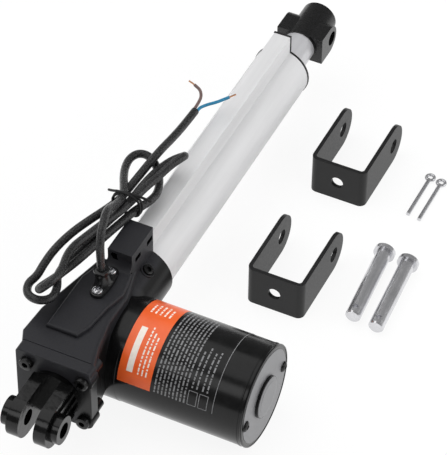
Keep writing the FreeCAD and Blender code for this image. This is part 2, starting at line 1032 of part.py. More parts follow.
node(
    "commutator",
    turned(
        "com",
        [
            (0, d.shaft_rad),
            (0, d.com_rad),
            (d.com_len, d.com_rad),
            (d.com_len, d.shaft_rad),
        ],
        (d.motor_x, -com_at, mz),
        "-Y",
    ),
)
brush_ring = turned(
    "brush_ring",
    [
        (0, d.com_rad + 3),
        (0, can_in - d.seat_gap),
        (d.brush_plate, can_in - d.seat_gap),
        (d.brush_plate, d.com_rad + 3),
    ],
    (d.motor_x, -brush_at, mz),
    "-Y",
)
node("brush_carrier", brush_ring)
for tag, sign in (("upper", 1), ("lower", -1)):
    low = d.com_rad + d.run_gap
    high = d.com_rad + 12
    z0 = mz + low if sign > 0 else mz - high
    z1 = mz + high if sign > 0 else mz - low
    node(
        "brush_" + tag,
        box(
            "brush_" + tag,
            (d.motor_x - 2.5, -brush_at, z0),
            (d.motor_x + 2.5, -(com_at + 0.6), z1),
        ),
    )
node(
    "motor_bearing_front",
    bearing(
        "motor_front",
        d.shaft_rad + d.seat_gap,
        d.motor_bearing_rad,
        d.motor_bearing_wide,
        (d.motor_x, -(d.can_at + 1), mz),
        "-Y",
    ),
)
node(
    "motor_bearing_rear",
    turned(
        "motor_rear",
        [
            (0, d.shaft_rad + d.run_gap),
            (0, d.shaft_rad + 4.4),
            (d.end_thick, d.shaft_rad + 4.4),
            (d.end_thick, d.shaft_rad + d.run_gap),
        ],
        (d.motor_x, -(end_at - d.end_thick), mz),
        "-Y",
    ),
)

# Cable gland on the pad, with its two screws

gx, gy = gland_x, d.gland_y
gland_foot = slab(
    "gland_foot",
    [
        (gx - d.gland_pitch - 4.2, gy),
        (gx - d.gland_pitch - 2.6, gy + 3.4),
        (gx - 3, gy + d.gland_rad + 0.6),
        (gx + 3, gy + d.gland_rad + 0.6),
        (gx + d.gland_pitch + 2.6, gy + 3.4),
        (gx + d.gland_pitch + 4.2, gy),
        (gx + d.gland_pitch + 2.6, gy - 3.4),
        (gx + 3, gy - d.gland_rad - 0.6),
        (gx - 3, gy - d.gland_rad - 0.6),
        (gx - d.gland_pitch - 2.6, gy - 3.4),
    ],
    d.gland_flange,
    (0, 0, gland_at),
)
gland = cut(
    "gland",
    fuse(
        "gland_raw",
        gland_foot,
        turned(
            "gland_barrel",
            [
                (0, 0),
                (0, d.gland_rad),
                (d.gland_tall - 1, d.gland_rad),
                (d.gland_tall, d.gland_rad - 1),
                (d.gland_tall, 0),
            ],
            (gx, gy, gland_at),
            "Z",
        ),
    ),
    rod("gland_hole", d.gland_bore, d.gland_tall + 2, (gx, gy, gland_at - 1), "Z"),
)
node("cable_gland", gland)
gland_screws = []
for k, sign in enumerate((1, -1)):
    gland_screws.append(
        turned(
            "gland_screw_%d" % k,
            [
                (0, 0),
                (0, d.gland_screw_rad),
                (1.2, d.gland_screw_rad),
                (2.0, d.gland_screw_rad * 0.6),
                (2.0, 0),
            ],
            (gx + sign * d.gland_pitch, gy, gland_at + d.gland_flange),
            "Z",
        )
    )
node("gland_screws", fuse("gland_screw_set", *gland_screws))

# Socket clamp screw, set square to the round socket beside the block

clamp_tilt = math.radians(d.clamp_angle.number)
sa, ca = math.sin(clamp_tilt), math.cos(clamp_tilt)
clamp = turned(
    "clamp_screw",
    [
        (0, 0),
        (0, d.clamp_rad),
        (d.clamp_rad * 0.4, d.clamp_rad),
        (d.clamp_rad * 0.7, d.clamp_rad * 0.6),
        (d.clamp_rad * 0.7, 0),
    ],
)
clamp_low = d.socket_rad - 0.35
seat(
    clamp,
    (block_at + d.clamp_at, -clamp_low * sa, clamp_low * ca),
    Turn(V(1, 0, 0), d.clamp_angle.number).multiply(Turn(V(0, 1, 0), -90)),
)
socket_skin = rod("socket_skin", d.socket_rad, d.socket_len + 2, (block_at - 1, 0, 0))
node("socket_screw", cut("socket_screw_cut", clamp, socket_skin))

# Mounting kit: two U brackets, two clevis pins and two split pins on the floor

fz = -d.floor_drop


def bracket(tag, x, y):
    # A bent strip on its edge: a base with a bolt hole and two ears with the pin hole.
    x, y = size(x), size(y)
    inner = d.pad_half_y + d.kit_gap
    out = inner + d.kit_plate
    eye_x, eye_z = x + d.kit_reach, fz + d.kit_tall / 2
    blank = rounded(
        "kit_blank_round_" + tag,
        box("kit_blank_" + tag, (x, y - out, fz), (eye_x, y + out, fz + d.kit_tall)),
        d.kit_bend + d.kit_plate,
        lambda e: along(e, 2) and e.CenterOfMass.x < (x + 1).number,
    )
    tips = rod("kit_tips_" + tag, d.kit_tall / 2, out * 2, (eye_x, y - out, eye_z), "Y")
    room = rounded(
        "kit_room_round_" + tag,
        box(
            "kit_room_" + tag,
            (x + d.kit_plate, y - inner, fz - 1),
            (eye_x + d.kit_tall, y + inner, fz + d.kit_tall + 1),
        ),
        d.kit_bend,
        lambda e: along(e, 2) and e.CenterOfMass.x < (x + d.kit_plate + 1).number,
    )
    eye_hole = rod("kit_eye_" + tag, pin_hole, out * 2 + 2, (eye_x, y - out - 1, eye_z), "Y")
    base_hole = rod("kit_base_" + tag, d.kit_bolt_rad, d.kit_plate + 2, (x - 1, y, eye_z))
    return cut("kit_bracket_" + tag, fuse("kit_raw_" + tag, blank, tips), room, eye_hole, base_hole)


node("bracket_rear", bracket("one", d.kit_x_one, -d.kit_y_one))
node("bracket_front", bracket("two", d.kit_x_two, -d.kit_y_two))


def clevis_pin(tag, tip_x, tip_y, angle):
    # A headed pin lying on the floor, with a cross hole near its tip.
    z = fz + d.pin_head_rad
    pin = turned(
        "pin_" + tag,
        [
            (0, 0),
            (0, d.pin_rad - 0.8),
            (0.8, d.pin_rad),
            (d.pin_len - d.pin_head_tall, d.pin_rad),
            (d.pin_len - d.pin_head_tall, d.pin_head_rad),
            (d.pin_len, d.pin_head_rad),
            (d.pin_len, 0),
        ],
    )
    hole = rod("pin_hole_" + tag, d.pin_hole_rad, d.pin_rad * 2 + 2, (5.0, 0, -(d.pin_rad + 1)), "Z")
    body = cut("clevis_pin_" + tag, pin, hole)
    seat(body, (tip_x, tip_y, z), Turn(V(0, 0, 1), angle))
    return body


node("clevis_pin_one", clevis_pin("one", d.pin_one_x, -d.pin_one_y, 4.0))
node("clevis_pin_two", clevis_pin("two", d.pin_two_x, -d.pin_two_y, 3.5))


def cotter(tag, x, y):
    # A split pin: two half round legs and a round eye, lying flat.
    r = d.cotter_rad
    leg = rod("cotter_leg_" + tag, r, d.cotter_len, (0, 0, 0), "X")
    eye = doc.addObject("Part::Torus", "cotter_eye_" + tag)
    bind(eye, "Radius1", d.cotter_eye - r)
    bind(eye, "Radius2", r * 0.8)
    seat(eye, (d.cotter_len + d.cotter_eye - r * 1.4, 0, 0))
    body = cut(
        "cotter_" + tag,
        fuse("cotter_raw_" + tag, leg, eye),
        box("cotter_split_" + tag, (-1, -0.12, -3), (d.cotter_len - 2, 0.12, 3)),
    )
    seat(body, (x, y, fz + r), Turn(V(0, 0, 1), 0))
    return body


node("split_pin_one", cotter("one", d.cotter_one_x, -d.cotter_one_y))
node("split_pin_two", cotter("two", d.cotter_two_x, -d.cotter_two_y))

# Cable: a tube out of the gland, the tied hank as one closed solid, and the tail


def cord_path(points):
    # Straight runs joined by tangent arcs, as one wire.
    pts = [V(*p) for p in points]
    edges, radii, here = [], [], pts[0]
    for i in range(1, len(pts) - 1):
        a, b, c = pts[i - 1], pts[i], pts[i + 1]
        u, w = b - a, c - b
        la, lb = u.Length, w.Length
        u.normalize()
        w.normalize()
        turn = math.acos(max(-1.0, min(1.0, u.dot(w))))
        back = 0.45 * min(la, lb)
        radius = back / math.tan(turn / 2)
        radii.append(round(radius, 1))
        p, q = b - u * back, b + w * back
        out = (w - u).normalize()
        mid = b + out * (back / math.sin(turn / 2) * (1 - math.cos(turn / 2))) * 1.0
        mid = b + out * (radius / math.cos(turn / 2) - radius)
        if (p - here).Length > 1e-6:
            edges.append(Part.LineSegment(here, p).toShape())
        edges.append(Part.Arc(p, mid, q).toShape())
        here = q
    edges.append(Part.LineSegment(here, pts[-1]).toShape())
    return Part.Wire(edges), radii


def cord_tube(name, points, radius):
    wire, radii = cord_path(points)
    start = V(*points[0])
    along_it = V(*points[1]) - start
    ring_edge = Part.makeCircle(radius, start, along_it)
    tube_shape = wire.makePipeShell([Part.Wire([ring_edge])], True, False)
    obj = doc.addObject("Part::Feature", name)
    obj.Shape = tube_shape
    wanted = math.pi * radius ** 2 * wire.Length
    print(name, "radii", radii, "length", round(wire.Length, 1), "volume share", round(tube_shape.Volume / wanted, 4))
    return obj


r_cable = d.cable_rad.number
gland_top = (gland_at + d.gland_tall).number
gxn, gyn = gland_x.number, d.gland_y.number
LEAD = [
    (gxn, gyn, gland_top),
    (gxn + 0.2, gyn + 0.4, gland_top + 11.0),
    (gxn + 1.6, gyn + 2.2, gland_top + 20.0),
    (gxn + 9.0, gyn + 5.0, gland_top + 26.5),
    (gxn + 24.0, gyn + 9.5, gland_top + 25.0),
    (gxn + 36.0, gyn + 11.0, gland_top + 15.0),
    (gxn + 43.0, gyn + 11.5, gland_top + 9.0),
]
node("cable_lead", cord_tube("cable_lead", LEAD, r_cable))
# Places along the hank are distances from the gland; it lies over the block and
# hangs lower over the casting
HANK_FRONT = [
    (42.5, 5.0), (26.5, 7.0), (9.5, 12.0), (9.5, 36.5), (18.5, 33.0), (31.5, 25.5),
    (43.5, 17.5), (57.5, 17.5), (73.5, 24.5), (87.5, 29.5), (98.5, 31.0), (103.5, 25.5),
    (101.5, 16.5), (99.5, 15.0), (99.5, 4.5), (110.5, 1.0), (114.5, -3.0), (108.5, -5.5),
    (99.5, -2.5), (87.5, -0.5), (79.5, -2.0), (67.5, -2.5), (57.5, 4.0),
]
HANK_REAR = [
    (16.7, 9.5), (9.5, 12.0), (-8.5, 18.0), (-24.5, 20.5), (-38.5, 22.0), (-43.0, 27.0),
    (-38.5, 34.5), (-26.5, 38.0), (-8.5, 39.0), (5.5, 38.0), (16.7, 33.7),
]
hank_low = (d.block_top + d.free_gap).number
hank_tall = 4 * r_cable
hank_drop = 7.0
hank_parts = []
for outline_points, low in ((HANK_FRONT, hank_low), (HANK_REAR, hank_low - hank_drop)):
    corners = [V(gxn + x, gyn + y, low) for x, y in outline_points]
    face = Part.Face(Part.makePolygon(corners + corners[:1]))
    hank_parts.append(face.extrude(V(0, 0, hank_tall)))
hank_obj = doc.addObject("Part::Feature", "cable_hank")
hank_obj.Shape = hank_parts[0].fuse(hank_parts[1]).removeSplitter()
node("cable_hank", hank_obj)
tie_at, tie_wide = gxn + 48.0, 5.0
tie_from, tie_to = gyn + 4.05, gyn + 17.8
tie_thick = 1.4
tie_low = hank_low - 0.15
tie_tall = hank_tall + 0.3
tie = doc.addObject("Part::Feature", "cable_tie")
tie_out = Part.makeBox(
    tie_wide,
    tie_to - tie_from + 2 * tie_thick,
    tie_tall + 2 * tie_thick,
    V(tie_at, tie_from - tie_thick, tie_low - tie_thick),
)
tie_in = Part.makeBox(
    tie_wide + 2, tie_to - tie_from, tie_tall, V(tie_at - 1, tie_from, tie_low)
)
tie.Shape = tie_out.cut(tie_in)
node("cable_tie", tie)
mid_z = hank_low + hank_tall / 2
tail_z = mid_z - 2.6
tail_x, tail_y = gxn + 146.2, gyn + 11.8
TAIL = [
    (tail_x - 46.2, tail_y - 1.8, mid_z),
    (tail_x - 31.7, tail_y - 0.8, mid_z),
    (tail_x - 16.7, tail_y, tail_z),
    (tail_x, tail_y, tail_z),
]
node("cable_tail", cord_tube("cable_tail", TAIL, r_cable))
BLUE = [
    (tail_x, tail_y - 1.3, tail_z),
    (tail_x + 4.0, tail_y - 1.3, tail_z),
    (tail_x + 8.5, tail_y - 4.2, tail_z + 0.1),
    (tail_x + 13.5, tail_y - 8.6, tail_z - 0.1),
    (tail_x + 21.4, tail_y - 13.3, tail_z - 0.5),
]
BROWN = [
    (tail_x, tail_y + 1.3, tail_z),
    (tail_x + 6.0, tail_y + 1.3, tail_z),
    (tail_x + 13.0, tail_y + 2.0, tail_z + 0.4),
    (tail_x + 18.0, tail_y + 5.0, tail_z + 1.0),
    (tail_x + 20.3, tail_y + 10.2, tail_z + 1.5),
]
node("wire_blue", cord_tube("wire_blue", BLUE, d.wire_rad.number))
node("wire_brown", cord_tube("wire_brown", BROWN, d.wire_rad.number))

doc.recompute()

# Checks on every object and every sub-part, then one STEP file each

bad = [
    o.Name
    for o in doc.Objects
    if "Invalid" in o.State or "Error" in o.State
]
if bad:
    raise RuntimeError("objects failed: %s" % bad)
for name, obj in nodes.items():
    shape = obj.Shape
    if shape.isNull() or not shape.isValid() or not shape.Solids:
        raise RuntimeError("bad shape: " + name)

os.makedirs("parts", exist_ok=True)
triangles = 0
for name, obj in nodes.items():
    obj.Shape.exportStep("parts/%s.step" % name)
    triangles += len(obj.Shape.copy().tessellate(0.1)[1])
    b = obj.Shape.BoundBox
    print(
        "%-22s solids %d vol %9.0f  x %7.1f %7.1f  y %7.1f %7.1f  z %7.1f %7.1f"
        % (name, len(obj.Shape.Solids), obj.Shape.Volume, b.XMin, b.XMax, b.YMin, b.YMax, b.ZMin, b.ZMax)
    )
print("nodes", len(nodes), "triangles", triangles)
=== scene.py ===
# Electric linear actuator with its mounting kit: looks, cable, small details, camera and light
import json
import math

import bmesh
import bpy
from mathutils import Matrix, Vector


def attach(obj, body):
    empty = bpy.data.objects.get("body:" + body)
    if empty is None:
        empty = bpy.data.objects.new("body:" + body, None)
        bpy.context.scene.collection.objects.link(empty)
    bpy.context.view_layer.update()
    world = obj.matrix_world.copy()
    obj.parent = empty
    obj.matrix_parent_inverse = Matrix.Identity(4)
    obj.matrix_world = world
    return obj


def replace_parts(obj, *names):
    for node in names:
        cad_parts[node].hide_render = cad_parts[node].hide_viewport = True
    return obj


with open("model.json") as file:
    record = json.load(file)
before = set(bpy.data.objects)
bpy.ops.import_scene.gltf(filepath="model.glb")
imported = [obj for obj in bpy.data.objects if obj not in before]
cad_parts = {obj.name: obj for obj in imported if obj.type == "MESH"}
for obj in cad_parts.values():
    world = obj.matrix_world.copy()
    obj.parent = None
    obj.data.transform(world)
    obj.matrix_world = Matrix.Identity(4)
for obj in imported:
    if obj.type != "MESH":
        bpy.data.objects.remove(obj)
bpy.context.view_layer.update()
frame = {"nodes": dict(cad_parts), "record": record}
nodes = frame["nodes"]
scene = bpy.context.scene
MM = 0.001


def mm(*values):
    # A point given in millimetres, in the scene's metres.
    return Vector(values) * MM


# Camera: where the photographer stood, with angles in radians

CAMERA_AT = mm(-886.97, -533.831, 1188.888)
CAMERA_YAW, CAMERA_PITCH, CAMERA_ROLL = 0.438, -0.785, 0.015
CAMERA_LENS = 213.98
CAMERA_REACH = 20


def add_camera():
    forward = Vector(
        (
            math.cos(CAMERA_YAW) * math.cos(CAMERA_PITCH),
            math.sin(CAMERA_YAW) * math.cos(CAMERA_PITCH),
            math.sin(CAMERA_PITCH),
        )
    )
    right = Vector((math.sin(CAMERA_YAW), -math.cos(CAMERA_YAW), 0))
    up = right.cross(forward)
    c, s = math.cos(CAMERA_ROLL), math.sin(CAMERA_ROLL)
    across, upward = right * c + up * s, up * c - right * s
    camera = bpy.data.objects.new("camera", bpy.data.cameras.new("camera"))
    camera.data.lens = CAMERA_LENS
    camera.data.clip_end = CAMERA_REACH
    turn = Matrix((across, upward, -forward)).transposed().to_4x4()
    camera.matrix_world = Matrix.Translation(CAMERA_AT) @ turn
    scene.collection.objects.link(camera)
    scene.camera = camera


add_camera()

# Materials: uniform values sit on the sockets, the others follow a noise

# Between these two values of the noise, a socket runs from its low to its high value
NOISE_LOW, NOISE_HIGH = 0.3, 0.7
NOISE_DETAIL = 5.0
# How far the roughness strays from its middle value
ROUGH_LESS, ROUGH_MORE = 0.88, 1.14


def material(name, colour, rough, metal=0.0, gloss=None):
    # A principled material; gloss is the specular level where it isn't the usual one.
    made = bpy.data.materials.new(name)
    made.use_nodes = True
    shader = made.node_tree.nodes["Principled BSDF"]
    shader.inputs["Base Color"].default_value = (*colour, 1)
    shader.inputs["Roughness"].default_value = rough
    shader.inputs["Metallic"].default_value = metal
    if gloss is not None:
        shader.inputs["Specular IOR Level"].default_value = gloss
    return made


def link(made, a, out, b, into):
    made.node_tree.links.new(a.outputs[out], b.inputs[into])


def grain(made, scale, stretch):
    # Noise in the object's own metres; a stretch under 1 draws it out along that axis.
    tree = made.node_tree
    place = tree.nodes.new("ShaderNodeTexCoord")
    mapping = tree.nodes.new("ShaderNodeMapping")
    mapping.inputs["Scale"].default_value = stretch
    noise = tree.nodes.new("ShaderNodeTexNoise")
    noise.inputs["Scale"].default_value = scale
    noise.inputs["Detail"].default_value = NOISE_DETAIL
    link(made, place, "Object", mapping, "Vector")
    link(made, mapping, "Vector", noise, "Vector")
    return noise


def vary_colour(made, noise, dark, light):
    ramp = made.node_tree.nodes.new("ShaderNodeValToRGB")
    stops = zip(ramp.color_ramp.elements, (NOISE_LOW, NOISE_HIGH), (dark, light))
    for stop, at, colour in stops:
        stop.position = at
        stop.color = (*colour, 1)
    link(made, noise, "Fac", ramp, "Fac")
    link(made, ramp, "Color", made.node_tree.nodes["Principled BSDF"], "Base Color")


def map_range(made, from_min, from_max, to_min, to_max):
    spread = made.node_tree.nodes.new("ShaderNodeMapRange")
    spread.inputs["From Min"].default_value = from_min
    spread.inputs["From Max"].default_value = from_max
    spread.inputs["To Min"].default_value = to_min
    spread.inputs["To Max"].default_value = to_max
    return spread


def vary_roughness(made, noise, rough):
    most = min(1.0, rough * ROUGH_MORE)
    spread = map_range(made, NOISE_LOW, NOISE_HIGH, rough * ROUGH_LESS, most)
    link(made, noise, "Fac", spread, "Value")
    link(made, spread, "Result", made.node_tree.nodes["Principled BSDF"], "Roughness")


def bumpy(made, noise, strength, depth):
    tree = made.node_tree
    bump = tree.nodes.new("ShaderNodeBump")
    bump.inputs["Strength"].default_value = strength
    bump.inputs["Distance"].default_value = depth
    link(made, noise, "Fac", bump, "Height")
    link(made, bump, "Normal", tree.nodes["Principled BSDF"], "Normal")


def finished(
    name, tones, rough, metal=0.0, scale=400, bump=0.0, depth=0.0002, stretch=(1, 1, 1), gloss=None
):
    # The usual finish: colour and gloss vary a little, with a fine surface grain.
    dark, light = tones
    middle = tuple((a + b) / 2 for a, b in zip(dark, light))
    made = material(name, middle, rough, metal, gloss)
    noise = grain(made, scale, stretch)
    vary_colour(made, noise, dark, light)
    vary_roughness(made, noise, rough)
    if bump:
        bumpy(made, noise, bump, depth)
    return made


def greys(dark, light, cool=1.03):
    # Two greys with a touch more blue.
    return [(value, value, value * cool) for value in (dark, light)]


# Blacks
cast = finished(
    "cast_black", greys(0.018, 0.024, 1.15), 0.42, scale=900, bump=0.22, depth=0.0001, gloss=0.27
)
clevis = finished(
    "clevis_black", greys(0.002, 0.004), 0.16, scale=240, bump=0.35, depth=0.0004, gloss=0.4
)
gland = finished("gland_black", greys(0.005, 0.009), 0.24, scale=700, bump=0.08)
screw_black = finished("screw_black", greys(0.005, 0.009), 0.26, 0.3, scale=800, bump=0.1)
head = finished("head_black", greys(0.005, 0.009), 0.28, scale=700, bump=0.08)
seal = finished("seal_black", greys(0.006, 0.010), 0.6, scale=900, bump=0.1)
can = finished(
    "can_black", greys(0.003, 0.006), 0.20, scale=250, bump=0.02, depth=0.00004, gloss=0.34
)
# The cable's speckles, from near black to dark grey, are partly painted highlights for the glints
# on its grainy sheath; the bump gives real ones too
cable = finished("cable_black", greys(0.002, 0.040), 0.26, scale=1300, bump=0.8, depth=0.0003)
bracket = finished(
    "bracket_black", greys(0.009, 0.013), 0.40, scale=900, bump=0.16, depth=0.0001, gloss=0.3
)
dark_part = finished("magnet", greys(0.05, 0.08), 0.6, scale=500, bump=0.1)
# Painted shade: a near-black with no gloss for the shade inside the block's slots
shadow = finished("slot_painted_shade", greys(0.0008, 0.0015), 0.9, gloss=0.0)

# Metals
bright = finished("screw_steel", greys(0.62, 0.75), 0.2, 1.0, scale=500, bump=0.05)
tube = finished(
    "tube_alu",
    greys(0.68, 0.73, 1.01),
    0.5,
    0.1,
    scale=260,
    bump=0.05,
    depth=0.00005,
    stretch=(0.06, 1, 1),
)
steel = finished(
    "rod_steel",
    greys(0.58, 0.66),
    0.30,
    0.35,
    scale=200,
    bump=0.03,
    depth=0.00004,
    stretch=(0.05, 1, 1),
)
ground = finished("bearing_steel", greys(0.5, 0.62), 0.3, 1.0, scale=600, bump=0.04)
plate = finished("end_steel", greys(0.22, 0.27), 0.42, 0.6, scale=350, bump=0.06)
zinc = finished("zinc", greys(0.66, 0.74), 0.24, 0.88, scale=90, bump=0.08, depth=0.00006)
copper = finished("copper", ((0.60, 0.30, 0.16), (0.72, 0.38, 0.22)), 0.3, 1.0, bump=0.04)

# Plastics and the two wires
poly = finished("nut_poly", ((0.62, 0.61, 0.56), (0.7, 0.69, 0.64)), 0.45, bump=0.05)
board = finished("board", ((0.01, 0.12, 0.03), (0.02, 0.16, 0.05)), 0.4, bump=0.04)
blue = finished(
    "wire_blue", ((0.006, 0.16, 0.30), (0.012, 0.21, 0.38)), 0.42, scale=900, bump=0.1
)
brown = finished(
    "wire_brown", ((0.12, 0.075, 0.07), (0.18, 0.12, 0.11)), 0.45, scale=900, bump=0.1
)

# Label
orange = finished(
    "band_orange",
    ((0.82, 0.11, 0.016), (0.88, 0.135, 0.024)),
    0.32,
    scale=120,
    bump=0.02,
    depth=0.00003,
)
film = finished(
    "label_black", greys(0.003, 0.006), 0.22, scale=150, bump=0.02, depth=0.00003, gloss=0.34
)
print_grey = finished("print_grey", greys(0.18, 0.26), 0.5)
print_pale = finished("print_pale", ((0.86, 0.78, 0.70), (0.94, 0.86, 0.78)), 0.45)

# Painted flange of the casting: below both limits it is a glossier black
PAINT_BELOW = {"Y": -14.5 * MM, "Z": 18.5 * MM}
PAINT_EDGE = 1.0 * MM
PAINT_TONE = greys(0.006, 0.006)[0]
PAINT_ROUGH = 0.28


def paint_flange(made):
    tree = made.node_tree
    shader = tree.nodes["Principled BSDF"]
    place = tree.nodes.new("ShaderNodeTexCoord")
    apart = tree.nodes.new("ShaderNodeSeparateXYZ")
    link(made, place, "Object", apart, "Vector")
    both = tree.nodes.new("ShaderNodeMath")
    both.operation = "MULTIPLY"
    for k, (axis, limit) in enumerate(PAINT_BELOW.items()):
        below = map_range(made, limit - PAINT_EDGE, limit + PAINT_EDGE, 1, 0)
        link(made, apart, axis, below, "Value")
        link(made, below, "Result", both, k)
    painted = (("Base Color", PAINT_TONE), ("Roughness", (PAINT_ROUGH,) * 3))
    for socket, value in painted:
        before = shader.inputs[socket].links[0].from_socket
        mix = tree.nodes.new("ShaderNodeMixRGB")
        link(made, both, "Value", mix, "Fac")
        tree.links.new(before, mix.inputs["Color1"])
        mix.inputs["Color2"].default_value = (*value, 1)
        link(made, mix, "Color", shader, socket)


paint_flange(cast)

# The look of each material slot in the CAD record
LOOKS = {
    "cast_black": cast,
    "clevis_black": clevis,
    "screw_black": screw_black,
    "screw_steel": bright,
    "tube_alu": tube,
    "rod_steel": steel,
    "head_black": head,
    "seal_black": seal,
    "bush_poly": poly,
    "nut_poly": poly,
    "screw_shaft": ground,
    "wheel_poly": poly,
    "bearing_steel": ground,
    "can_black": can,
    "end_steel": plate,
    "magnet": dark_part,
    "core_steel": ground,
    "copper": copper,
    "carbon": dark_part,
    "board": board,
    "gland_black": gland,
    "cable_black": cable,
    "wire_blue": blue,
    "wire_brown": brown,
    "bracket_black": bracket,
    "zinc": zinc,
}


def dress(obj, made):
    obj.data.materials.clear()
    obj.data.materials.append(made)


for part in frame["record"]["subparts"]:
    dress(nodes[part["node"]], LOOKS[part["material_slot"]])

# Cable: one spline from the gland, through the tie, round the loops and out again

CABLE_WIDE = 0.0052
CURVE_ORDER, CURVE_STEPS, BEVEL_STEPS = 3, 8, 6
CABLE_EXIT = (90.3, 3.2, 41.0)
ROUTE = [
    CABLE_EXIT,
    (90.6, 3.8, 51.5),
    (92.6, 4.8, 61.0),
    (100.0, 6.8, 67.0),
    (113.5, 11.0, 66.1),
    (125.3, 12.7, 58.2),
    (133.3, 13.1, 54.0),
    (142.7, 15.0, 51.5),
    (151.3, 19.4, 49.2),
    (160.9, 24.6, 46.4),
    (171.1, 28.9, 44.0),
    (181.0, 30.6, 42.8),
    (187.4, 27.4, 42.8),
    (188.6, 21.0, 41.9),
    (184.7, 14.5, 40.4),
    (177.4, 8.7, 39.3),
    (167.5, 3.7, 40.2),
    (157.6, 1.6, 41.9),
    (148.0, 3.8, 43.0),
    (140.0, 7.2, 42.8),
    (129.0, 9.4, 42.8),
    (116.0, 12.4, 43.0),
    (103.0, 15.6, 42.0),
    (90.0, 19.2, 40.6),
    (79.0, 22.4, 40.5),
    (71.9, 24.4, 40.6),
    (61.8, 29.1, 39.8),
    (55.7, 26.4, 44.3),
    (57.9, 20.7, 50.6),
    (67.8, 18.3, 50.2),
    (89.0, 24.0, 48.6),
    (104.0, 20.4, 48.0),
    (118.1, 15.9, 48.7),
    (131.1, 11.3, 49.0),
    (143.0, 9.2, 49.2),
    (155.9, 7.5, 48.7),
    (161.8, 6.1, 48.8),
    (168.9, 4.3, 49.1),
    (177.9, 1.1, 51.6),
    (188.0, -3.5, 52.7),
    (193.6, -0.6, 46.8),
    (191.2, 6.1, 42.6),
    (182.4, 8.5, 43.9),
    (171.6, 9.0, 46.8),
    (159.5, 11.1, 45.7),
    (147.1, 12.5, 43.5),
    (135.1, 14.8, 43.3),
    (122.0, 17.8, 42.8),
    (108.0, 22.0, 39.0),
    (94.0, 25.6, 36.2),
    (80.0, 27.6, 35.2),
    (69.7, 21.7, 35.3),
    (60.3, 20.3, 35.5),
    (54.5, 26.5, 36.3),
    (56.0, 34.8, 36.6),
    (64.1, 38.7, 36.5),
    (72.0, 36.5, 36.7),
    (81.0, 37.2, 37.6),
    (94.0, 36.8, 39.0),
    (109.0, 33.0, 41.2),
    (122.3, 27.4, 42.8),
    (134.3, 22.4, 43.3),
    (146.3, 19.2, 42.9),
    (158.5, 18.1, 44.0),
    (173.8, 16.5, 45.8),
    (190.7, 14.6, 47.5),
    (206.0, 13.4, 46.0),
    (222.0, 13.3, 43.8),
    (236.7, 13.3, 43.0),
]


def spline(name, points, radius, made):
    # A bevelled NURBS curve through given control points, in millimetres.
    curve = bpy.data.curves.new(name, "CURVE")
    curve.dimensions = "3D"
    line = curve.splines.new("NURBS")
    line.points.add(len(points) - 1)
    for point, at in zip(line.points, points):
        point.co = (*mm(*at), 1)
    line.order_u = CURVE_ORDER
    line.use_endpoint_u = True
    line.resolution_u = CURVE_STEPS
    curve.bevel_depth = radius
    curve.bevel_resolution = BEVEL_STEPS
    curve.use_fill_caps = True
    obj = bpy.data.objects.new(name, curve)
    scene.collection.objects.link(obj)
    curve.materials.append(made)
    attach(obj, "housing")
    return obj


# Twist tie: two turns of thin wire round the bundle, its ends left standing

TIE = [
    (145.0, 26.4, 48.6),
    (142.5, 22.8, 51.5),
    (140.6, 17.0, 55.4),
    (140.2, 9.0, 55.0),
    (140.0, 3.4, 52.6),
    (140.2, 2.6, 45.0),
    (140.4, 4.6, 38.8),
    (141.0, 12.0, 37.6),
    (141.6, 19.6, 40.0),
    (142.2, 22.8, 46.0),
    (142.4, 19.0, 52.8),
    (142.2, 10.0, 54.8),
    (142.6, 3.2, 52.0),
    (142.6, 2.4, 45.0),
    (142.2, 4.4, 38.9),
    (141.6, 12.0, 37.7),
    (141.0, 19.8, 40.2),
    (140.6, 22.6, 47.0),
    (141.0, 17.6, 53.8),
    (142.4, 9.6, 54.6),
    (143.6, 2.0, 53.0),
    (145.4, -2.0, 50.4),
]
TIE_RAD = 0.0008
tie = spline("twist_tie", TIE, TIE_RAD, seal)
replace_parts(tie, "cable_tie")

# Bare ends of the two wires

STRAND_RAD = 0.00055
BLUE_TIP = [(257.6, 0.3, 42.5), (260.0, -1.1, 42.4), (262.6, -2.6, 42.3)]
BROWN_TIP = [(256.8, 23.1, 44.4), (257.8, 25.2, 44.6), (258.4, 28.2, 44.9)]
blue_tip = spline("blue_tip", BLUE_TIP, STRAND_RAD, copper)
brown_tip = spline("brown_tip", BROWN_TIP, STRAND_RAD, copper)

lead = spline("cable", ROUTE, CABLE_WIDE / 2, cable)
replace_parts(lead, "cable_lead", "cable_hank", "cable_tail")

# Small details, each in the frame's millimetres and on the housing

WELD = 1e-7
SHARP = math.radians(32)
TURN = 2 * math.pi


def add_mesh(name, verts, faces, made, smooth=True):
    mesh = bpy.data.meshes.new(name)
    mesh.from_pydata([mm(*v) for v in verts], [], faces)
    work = bmesh.new()
    work.from_mesh(mesh)
    bmesh.ops.remove_doubles(work, verts=work.verts, dist=WELD)
    bmesh.ops.recalc_face_normals(work, faces=work.faces)
    for face in work.faces:
        face.smooth = smooth
    for edge in work.edges:
        if len(edge.link_faces) == 2 and edge.calc_face_angle(0) > SHARP:
            edge.smooth = False
    work.to_mesh(mesh)
    work.free()
    obj = bpy.data.objects.new(name, mesh)
    scene.collection.objects.link(obj)
    mesh.materials.append(made)
    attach(obj, "housing")
    return obj


def between(low, high):
    # Faces that join two rings of corners.
    n = len(low)
    return [(low[k], low[(k + 1) % n], high[(k + 1) % n], high[k]) for k in range(n)]


def stacked(rings, n):
    # Faces of a closed body whose corners come ring by ring, n to a ring.
    rows = [range(k * n, (k + 1) * n) for k in range(rings)]
    faces = [tuple(rows[0]), tuple(rows[-1])]
    for low, high in zip(rows, rows[1:]):
        faces += between(low, high)
    return faces


def frame_of(axis):
    # The axis and two directions across it.
    along = Vector(axis).normalized()
    side = along.orthogonal().normalized()
    return along, side, along.cross(side)


